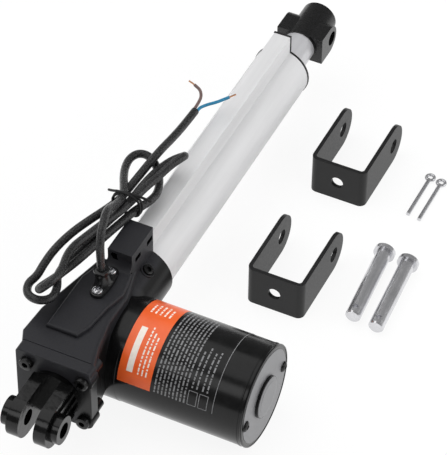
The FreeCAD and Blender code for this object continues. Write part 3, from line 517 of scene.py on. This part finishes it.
def lathe(name, profile, at, axis, made, steps=48, ring=False):
    # A body of revolution from (along, radius) pairs. ring joins the last pair to the
    # first; otherwise both ends get a cap.
    along, side, other = frame_of(axis)
    verts = []
    for far, radius in profile:
        for k in range(steps):
            angle = TURN * k / steps
            arm = side * math.cos(angle) + other * math.sin(angle)
            verts.append(tuple(Vector(at) + along * far + arm * radius))
    rows = [range(k * steps, (k + 1) * steps) for k in range(len(profile))]
    faces = []
    for low, high in zip(rows, rows[1:]):
        faces += between(low, high)
    if ring:
        faces += between(rows[-1], rows[0])
    else:
        faces += [tuple(rows[0]), tuple(rows[-1])]
    return add_mesh(name, verts, faces, made)


def carve(obj, verts, faces):
    # Cuts a closed form out of a piece.
    mesh = bpy.data.meshes.new("cutter")
    mesh.from_pydata([mm(*v) for v in verts], [], faces)
    work = bmesh.new()
    work.from_mesh(mesh)
    bmesh.ops.recalc_face_normals(work, faces=work.faces)
    work.to_mesh(mesh)
    work.free()
    cutter = bpy.data.objects.new("cutter", mesh)
    scene.collection.objects.link(cutter)
    change = obj.modifiers.new("carve", "BOOLEAN")
    change.object = cutter
    change.solver = "EXACT"
    graph = bpy.context.evaluated_depsgraph_get()
    done = bpy.data.meshes.new_from_object(obj.evaluated_get(graph))
    obj.modifiers.clear()
    obj.data = done
    bpy.data.objects.remove(cutter)


def prism(outline, low, high, at, axis, turn=0.0):
    # Corners and faces of a prism with a flat outline, standing along an axis.
    along, side, other = frame_of(axis)
    c, s = math.cos(turn), math.sin(turn)
    verts = []
    for far in (low, high):
        for x, y in outline:
            u, v = x * c - y * s, x * s + y * c
            verts.append(tuple(Vector(at) + along * far + side * u + other * v))
    return verts, stacked(2, len(outline))


def hexagon(radius):
    corners = [k * math.pi / 3 for k in range(6)]
    return [(radius * math.cos(angle), radius * math.sin(angle)) for angle in corners]


def cross(arm, half):
    # Four arms that narrow toward their tips.
    tip = half * 0.7
    points = []
    for c, s in ((1, 0), (0, 1), (-1, 0), (0, -1)):
        for x, y in ((half, -half), (arm, -tip), (arm, tip)):
            points.append((x * c - y * s, x * s + y * c))
    return points


def join(name, pieces):
    # Several pieces become one object, which keeps the first one's looks.
    work = bmesh.new()
    for piece in pieces:
        work.from_mesh(piece.data)
    keep = pieces[0]
    mesh = keep.data
    work.to_mesh(mesh)
    work.free()
    for piece in pieces[1:]:
        bpy.data.objects.remove(piece)
    keep.name = name
    return keep


# How far a cutter stands out past the face that it cuts
PAST = 1
PAN_SHANK, PAN_POINT, PAN_REACH, PAN_TAPER, PAN_STEPS = 1.6, 1.2, 4.0, 0.4, 8
# The pan head's side, as shares of its height and radius; the rest is a quarter round
PAN_SIDE, PAN_FLAT = 0.35, 0.3


def cap_screw(name, at, axis, radius, tall, socket, deep, shank, reach, turn=0.3):
    # A black cap head with rounded edges and a hexagon socket. The axis points outward.
    edge = radius * 0.14
    inset = 0.3 * edge
    point_rad, point_long = shank * 0.7, 0.5
    profile = [
        (-reach, point_rad),
        (-reach + point_long, shank),
        (0, shank),
        (0, radius),
        (tall - edge, radius),
        (tall - inset, radius - inset),
        (tall, radius - edge),
    ]
    screw = lathe(name, profile, at, axis, screw_black)
    carve(screw, *prism(hexagon(socket), tall - deep, tall + PAST, at, axis, turn))
    return screw


def pan_screw(name, at, axis, radius, tall, turn):
    # A bright pan head with a cross recess.
    profile = [
        (-PAN_REACH, PAN_POINT),
        (-PAN_REACH + PAN_TAPER, PAN_SHANK),
        (0, PAN_SHANK),
        (0, radius),
    ]
    for k in range(1, PAN_STEPS):
        angle = k / PAN_STEPS * math.pi / 2
        rise = PAN_SIDE + (1 - PAN_SIDE) * math.sin(angle)
        spread = PAN_FLAT + (1 - PAN_FLAT) * math.cos(angle)
        profile.append((tall * rise, radius * spread))
    screw = lathe(name, profile, at, axis, bright)
    recess, floor = cross(radius * 0.62, radius * 0.17), tall * 0.25
    carve(screw, *prism(recess, floor, tall + PAST, at, axis, turn))
    return screw


# Screws: sockets in the black ones, crosses in the bright ones

COVER_X, SCREW_Y, SCREW_Z = 24.5, 18.2, 17.0
corner = [
    cap_screw(
        "corner_%d" % k,
        (COVER_X, y, z),
        (-1, 0, 0),
        radius=4.3,
        tall=3.2,
        socket=2.1,
        deep=2.2,
        shank=2.4,
        reach=15.5,
        turn=0.2 * k,
    )
    for k, (y, z) in enumerate(
        ((SCREW_Y, SCREW_Z), (-SCREW_Y, SCREW_Z), (-SCREW_Y, -SCREW_Z), (SCREW_Y, -SCREW_Z))
    )
]
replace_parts(join("cover_screws", corner), "rear_cover_screws")

GLAND_X, GLAND_Y, GLAND_TOP = 90.5, 1.5, 31.0
GLAND_REACH = 9.0
pans = [
    pan_screw("pan_%d" % k, (x, GLAND_Y, GLAND_TOP), (0, 0, 1), 3.2, 2.0, 0.5 + 0.6 * k)
    for k, x in enumerate((GLAND_X - GLAND_REACH, GLAND_X + GLAND_REACH))
]
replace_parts(join("gland_cross_screws", pans), "gland_screws")

CLAMP_LEAN = math.radians(33)
CLAMP_X, CLAMP_OUT = 121.4, 21.1
clamp_way = (0, -math.sin(CLAMP_LEAN), math.cos(CLAMP_LEAN))
clamp_at = (CLAMP_X, -CLAMP_OUT * math.sin(CLAMP_LEAN), CLAMP_OUT * math.cos(CLAMP_LEAN))
clamp = cap_screw(
    "clamp_screw",
    clamp_at,
    clamp_way,
    radius=3.4,
    tall=1.7,
    socket=1.8,
    deep=1.5,
    shank=1.7,
    reach=1.6,
)
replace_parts(clamp, "socket_screw")
CLAMP_RIM = [(-0.6, 3.7), (0.55, 3.7), (0.75, 4.1), (0.55, 4.7), (-0.9, 5.2)]
lathe("clamp_rim", CLAMP_RIM, clamp_at, clamp_way, cast, ring=True)

# Gland: lozenge flange, leaning barrel with a bead at its top, and the cable's hole

FLANGE_STEPS = 72
FLANGE_WAIST, FLANGE_LOBE, FLANGE_SWELL = 5.2, 4.1, 0.28
FLANGE_LONG, FLANGE_SPREAD = 13.0, 1.35
# The lobes start where the cosine of the angle passes this
LOBE_FROM = 0.45
# Height of each ring of the flange, and how far its edge stands out
FLANGE_RINGS = ((28.5, 0.0), (30.5, 0.0), (30.85, -0.15), (31.0, -0.5))


def flange_outline():
    # A lobe round each screw, and a wider waist between them.
    points = []
    for k in range(FLANGE_STEPS):
        angle = TURN * k / FLANGE_STEPS
        c, s = math.cos(angle), math.sin(angle)
        if abs(c) > LOBE_FROM:
            x = math.copysign(GLAND_REACH, c) + FLANGE_LOBE * c
            y = FLANGE_LOBE * s * (1.0 + FLANGE_SWELL * (1 - abs(c)))
        else:
            x = FLANGE_LONG * c * FLANGE_SPREAD
            y = FLANGE_WAIST * s
        points.append((x, y))
    return points


def flange_piece():
    outline = flange_outline()
    verts = []
    for z, grow in FLANGE_RINGS:
        for x, y in outline:
            length = math.hypot(x, y)
            k = (length + grow) / length
            verts.append((GLAND_X + x * k, GLAND_Y + y * k, z))
    faces = stacked(len(FLANGE_RINGS), len(outline))
    return add_mesh("gland_flange", verts, faces, gland)


BARREL_FOOT, BARREL_TOP = Vector((90.3, 2.0, 30.6)), Vector((90.3, 3.2, 41.2))
BARREL = [
    (0, 2.7),
    (0, 5.6),
    (0.9, 5.0),
    (6.6, 4.35),
    (6.9, 4.0),
    (7.6, 4.0),
    (7.9, 4.7),
    (9.0, 5.0),
    (10.1, 4.7),
    (10.5, 4.0),
    (10.5, 2.7),
]
barrel_way = tuple(BARREL_TOP - BARREL_FOOT)
barrel = lathe(
    "gland_barrel", BARREL, tuple(BARREL_FOOT), barrel_way, gland, ring=True
)
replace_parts(join("gland_body", [flange_piece(), barrel]), "cable_gland")

# Motor: collar over the flange, rolled rim, end boss and bolts

MOTOR_X, MOTOR_Z = 86.6, -14.0
CAN_AXIS = (0, -1, 0)
CAN_STEPS, BOSS_STEPS, BOLT_STEPS = 128, 96, 40

COLLAR = [(9.6, 32.0), (9.8, 32.6), (22.6, 32.6), (22.9, 32.3)]
RIM = [(102.2, 32.2), (102.4, 32.62), (102.9, 32.72), (103.4, 32.62), (103.6, 32.2)]
LIP = [(105.2, 31.2), (105.2, 32.45), (105.7, 32.7), (106.3, 32.45), (106.5, 31.6)]
# The boss's side is black: painted shade for the dark crescent round the end boss
BOSS_SIDE_SHADE = [(104.5, 12.9), (104.5, 13.6), (108.0, 13.5), (108.3, 13.2), (108.3, 12.9)]
BOSS = [(104.5, 13.0), (108.3, 13.0), (108.6, 12.6), (108.7, 12.0), (108.6, 0.5)]
for name, profile, made, slot, steps, ring in (
    ("motor_collar", COLLAR, can, "can_black", CAN_STEPS, True),
    ("can_rim", RIM, can, "can_black", CAN_STEPS, True),
    ("can_lip", LIP, can, "can_black", CAN_STEPS, True),
    # painted shade: the black side of the end boss
    ("boss_side_shade", BOSS_SIDE_SHADE, screw_black, "end_steel", BOSS_STEPS, True),
    ("end_boss", BOSS, plate, "end_steel", BOSS_STEPS, False),
):
    lathe(name, profile, (MOTOR_X, 0, MOTOR_Z), CAN_AXIS, made, steps, ring)

BOLT_XS, BOLT_Y = (113.0, 60.2), -105.4
BOLT_RAD, BOLT_EDGE, BOLT_DOME = 3.6, 0.9, 2.0
BOLT_SHANK, BOLT_REACH = 2.0, 4.4
BOLT_SOCKET, BOLT_FLOOR, BOLT_TURN = 1.5, 1.4, 0.2
# The dome's curve is a little fuller than a quarter round
DOME_POWER = 0.8
DOME_ANGLES = (0.3, 0.6, 0.9, 1.15, 1.35)
dome = [(-BOLT_REACH, BOLT_SHANK), (0.0, BOLT_SHANK), (0.0, BOLT_RAD), (BOLT_EDGE, BOLT_RAD)]
for angle in DOME_ANGLES:
    rise, spread = BOLT_DOME * math.sin(angle), math.cos(angle) ** DOME_POWER
    dome.append((BOLT_EDGE + rise, BOLT_RAD * spread))
bolts = []
for k, x in enumerate(BOLT_XS):
    at = (x, BOLT_Y, MOTOR_Z)
    bolt = lathe("bolt_%d" % k, dome, at, CAN_AXIS, screw_black, BOLT_STEPS)
    carve(bolt, *prism(hexagon(BOLT_SOCKET), BOLT_FLOOR, 5, at, CAN_AXIS, BOLT_TURN))
    bolts.append(bolt)
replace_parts(join("dome_bolts", bolts), "motor_bolts")

# Label: an orange band and a black field, each with rows of plain bars

LABEL_FROM, LABEL_TO = -78.5, 82.0
BAND_FROM, BAND_TO, FIELD_TO = 24.5, 46.2, 87.6
# Radii of the label's foot, its two films and its print
LABEL_FOOT, BAND_RAD, FIELD_RAD = 32.3, 32.56, 32.52
FIELD_FOOT, FIELD_PRINT, EDGE_PRINT = 32.45, 32.56, 32.58
BAND_FOOT, BAND_PRINT = 32.5, 32.60
# Degrees between two corners of a patch
PATCH_STEP = 4
# Bars and gaps, in degrees: the least, and how much each step adds
BAR, BAR_MORE, BAR_STEPS = 2.2, 1.15, 5
GAP, GAP_MORE, GAP_STEPS = 1.1, 0.25, 3
BAR_SHARE = 0.85
# Small boxes, in mm along the can, with the side's width in degrees round it
BOX_LONG, BOX_LINE, BOX_SIDE = 5.8, 0.4, 0.7


def patches(name, areas, inner, outer, made):
    # Thin closed shells on the can; each area is (near, far, from, to) in mm and degrees.
    verts, faces = [], []
    for near, far, first, last in areas:
        steps = max(1, int(abs(last - first) / PATCH_STEP))
        start = len(verts)
        for k in range(steps + 1):
            angle = math.radians(first + (last - first) * k / steps)
            for radius in (inner, outer):
                x = MOTOR_X + radius * math.sin(angle)
                z = MOTOR_Z + radius * math.cos(angle)
                verts += [(x, -near, z), (x, -far, z)]
        for k in range(steps):
            a, b = start + 4 * k, start + 4 * k + 4
            faces += [(a, a + 1, b + 1, b), (a + 2, b + 2, b + 3, a + 3)]
            faces += [(a, b, b + 2, a + 2), (a + 1, a + 3, b + 3, b + 1)]
        a, b = start, start + 4 * steps
        faces += [(a, a + 2, a + 3, a + 1), (b, b + 1, b + 3, b + 2)]
    return add_mesh(name, verts, faces, made)


def bars(y, tall, first, last, seed):
    # A row of short bars of uneven length, from one angle to another.
    row, here, k = [], first, seed
    while here < last - 2:
        end = min(here + (BAR + (k * 7 % BAR_STEPS) * BAR_MORE), last)
        row.append((y, y + tall * BAR_SHARE, here, end))
        here = end + GAP + (k % GAP_STEPS) * GAP_MORE
        k += 1
    return row


def empty_frame(near, first, last):
    # The four sides of a small box.
    far = near + BOX_LONG
    rows = [(near, near + BOX_LINE, first, last), (far - BOX_LINE, far, first, last)]
    return rows + [(near, far, first, first + BOX_SIDE), (near, far, last - BOX_SIDE, last)]


patches("label_band", [(BAND_FROM, BAND_TO, LABEL_FROM, LABEL_TO)], LABEL_FOOT, BAND_RAD, orange)
patches("label_field", [(BAND_TO, FIELD_TO, LABEL_FROM, LABEL_TO)], LABEL_FOOT, FIELD_RAD, film)

# Rows of the field: nine long ones, then four short ones beside two empty boxes
LINE, LINE_FIRST, LINE_STEP, LINE_LOW = 1.15, 48.6, 2.42, -77
field_rows = []
for i in range(9):
    field_rows += bars(LINE_FIRST + i * LINE_STEP, LINE, LINE_LOW, 40 - (i % 3) * 4, i * 3)
for i, y in enumerate((71.4, 74.4, 78.2, 81.2)):
    field_rows += bars(y, LINE, -57, -14 + (i % 2) * 4, i + 2)
for near in (70.4, 77.4):
    field_rows += empty_frame(near, LINE_LOW, -60)
patches("field_bars", field_rows, FIELD_FOOT, FIELD_PRINT, print_grey)
edge_row = (86.7, 87.1, LABEL_FROM + 1, LABEL_TO)
patches("field_edge", [edge_row], FIELD_FOOT, EDGE_PRINT, print_grey)

# Rows of the band: one broad bar, three rows under it, and five short rows above
BAND_LOW, BAND_LINE, BAND_LINE_STEP = -64, 1.1, 2.6
TOP_LINE, TOP_LINE_STEP = 1.3, 3.0
band_rows = [(29.4, 33.4, BAND_LOW, -13)]
for i in range(3):
    band_rows += bars(36.6 + i * BAND_LINE_STEP, BAND_LINE, BAND_LOW, -10 - i * 4, i * 2)
for i in range(5):
    band_rows += bars(28.6 + i * TOP_LINE_STEP, TOP_LINE, 8, 26, i)
patches("band_bars", band_rows, BAND_FOOT, BAND_PRINT, print_pale)

# Casting: painted shade in the block's slots, a fillet under it, and a wall over the nut's room

BLOCK_HALF, BLOCK_AT = 8.1, 107.8
FILLET_RAD, FILLET_FOOT, FILLET_STEPS = 6.5, 28.2, 12
# How far the fillet goes into the casting's top and into the block
FILLET_SUNK, FILLET_DEEP = 1.0, 0.6
SLOT_SUNK, SLOT_PROUD, SLOT_STEPS = -0.5, 0.1, 8
SIDE_SLOT_XS, SIDE_SLOT_Y, SIDE_SLOT_Z = (115.7, 131.0), -7.8, 32.8
REAR_SLOT_AT, REAR_SLOT_LEAN = (107.75, 3.4, 34.6), -0.55
# The nut's wall in section, as (x, radius) pairs, and its range of angles
WALL = [(99.0, 16.7), (108.2, 16.7), (108.2, 21.1), (102.0, 21.1), (99.0, 19.5)]
WALL_FROM, WALL_SPAN, WALL_STEPS = 14, 56, 24


def painted_slot_shade(name, at, axis, half, tall, lean):
    # Painted shade: a dark inset with round ends for the shade inside a slot, a hair proud of the
    # face it is in.
    outline = []
    for sign in (1, -1):
        for k in range(SLOT_STEPS + 1):
            angle = math.pi * (k / SLOT_STEPS - 0.5 * sign)
            outline.append((sign * (tall - half) + half * math.cos(angle), half * math.sin(angle)))
    along = Vector(axis).normalized()
    upright = Vector((0, 0, 1))
    up = upright * math.cos(lean) + upright.cross(along) * math.sin(lean)
    over = along.cross(up)
    verts = []
    for far in (SLOT_SUNK, SLOT_PROUD):
        for u, v in outline:
            verts.append(tuple(Vector(at) + along * far + up * u + over * v))
    faces = stacked(2, len(outline))
    return add_mesh(name, verts, faces, shadow, False)


def block_fillet():
    # A hollow quarter round between the block's rear face and the casting's top.
    sunk = FILLET_FOOT - FILLET_SUNK
    back = BLOCK_AT + FILLET_DEEP
    section = [(back, sunk), (back, FILLET_FOOT + FILLET_RAD)]
    for k in range(FILLET_STEPS + 1):
        angle = math.pi / 2 * k / FILLET_STEPS
        x = BLOCK_AT - FILLET_RAD + FILLET_RAD * math.cos(angle)
        z = FILLET_FOOT + FILLET_RAD - FILLET_RAD * math.sin(angle)
        section.append((x, z))
    section.append((BLOCK_AT - FILLET_RAD, sunk))
    verts = [(x, y, z) for y in (-BLOCK_HALF, BLOCK_HALF) for x, z in section]
    return add_mesh("block_fillet", verts, stacked(2, len(section)), cast)


def nut_wall():
    # The housing's round wall between its box and the tube's socket.
    verts = []
    for k in range(WALL_STEPS + 1):
        angle = math.radians(WALL_FROM + WALL_SPAN * k / WALL_STEPS)
        for x, radius in WALL:
            verts.append((x, -radius * math.cos(angle), radius * math.sin(angle)))
    faces = stacked(WALL_STEPS + 1, len(WALL))
    return add_mesh("nut_wall", verts, faces, cast)


nut_wall()
block_fillet()
# Painted shade in the two side slots and the rear slot
for k, x in enumerate(SIDE_SLOT_XS):
    at = (x, SIDE_SLOT_Y, SIDE_SLOT_Z)
    painted_slot_shade("side_slot_shade_%d" % k, at, (0, -1, 0), 1.7, 3.3, math.pi / 2)
painted_slot_shade("rear_slot_shade", REAR_SLOT_AT, (-1, 0, 0), 1.4, 3.5, REAR_SLOT_LEAN)

# Floor, backdrop and light

FLOOR_Z = -0.0464
FLOOR_HALF = 6.0
FLOOR_ROUGH = 0.9
# Share of the floor's look that is plain white, for the camera and in gloss
FLOOR_GLOW = 0.9
WORLD_STRENGTH = 0.2


def add_floor():
    mesh = bpy.data.meshes.new("floor")
    corners = ((-1, -1), (1, -1), (1, 1), (-1, 1))
    mesh.from_pydata(
        [(x * FLOOR_HALF, y * FLOOR_HALF, FLOOR_Z) for x, y in corners], [], [(0, 1, 2, 3)]
    )
    floor = bpy.data.objects.new("floor", mesh)
    scene.collection.objects.link(floor)
    made = material("floor_white", (1.0, 1.0, 1.0), FLOOR_ROUGH)
    tree = made.node_tree
    shader = tree.nodes["Principled BSDF"]
    path = tree.nodes.new("ShaderNodeLightPath")
    glow = tree.nodes.new("ShaderNodeEmission")
    mix = tree.nodes.new("ShaderNodeMixShader")
    seen = tree.nodes.new("ShaderNodeMath")
    seen.operation = "MAXIMUM"
    share = tree.nodes.new("ShaderNodeMath")
    share.operation = "MULTIPLY"
    share.inputs[1].default_value = FLOOR_GLOW
    link(made, path, "Is Camera Ray", seen, 0)
    link(made, path, "Is Glossy Ray", seen, 1)
    link(made, seen, "Value", share, 0)
    link(made, share, "Value", mix, "Fac")
    link(made, shader, "BSDF", mix, 1)
    link(made, glow, "Emission", mix, 2)
    link(made, mix, "Shader", tree.nodes["Material Output"], "Surface")
    floor.data.materials.append(made)


add_floor()

world = bpy.data.worlds.new("studio")
scene.world = world
world.use_nodes = True
world.node_tree.nodes["Background"].inputs["Color"].default_value = (1, 1, 1, 1)
world.node_tree.nodes["Background"].inputs["Strength"].default_value = WORLD_STRENGTH

# Name, place, aim, size, watts, and whether the object's gloss mirrors the lamp
LAMPS = (
    ("soft", (0.3, 0.5, 2.2), (0.2, 0, 0), (2.8, 2.8), 34, False),
    ("front", (0.5, -1.8, 0.9), (0.2, 0, 0), (2.6, 1.8), 20, False),
    ("key", (0.3, 1.1, 1.8), (0.2, 0, 0), (2.4, 2.4), 16, True),
    ("fill", (0.7, -2.0, 1.0), (0.2, 0, 0), (1.8, 1.2), 9, True),
    ("rim", (-1.9, 0.85, 1.75), (0.1, 0, 0), (1.0, 1.0), 5, True),
)
for name, at, aim, size, power, mirrored in LAMPS:
    lamp = bpy.data.lights.new(name, "AREA")
    lamp.shape = "RECTANGLE"
    lamp.size, lamp.size_y = size
    lamp.energy = power
    obj = bpy.data.objects.new(name, lamp)
    obj.location = at
    obj.rotation_euler = (Vector(aim) - Vector(at)).to_track_quat("-Z", "Y").to_euler()
    obj.visible_glossy = mirrored
    scene.collection.objects.link(obj)

scene.view_settings.view_transform = "Standard"
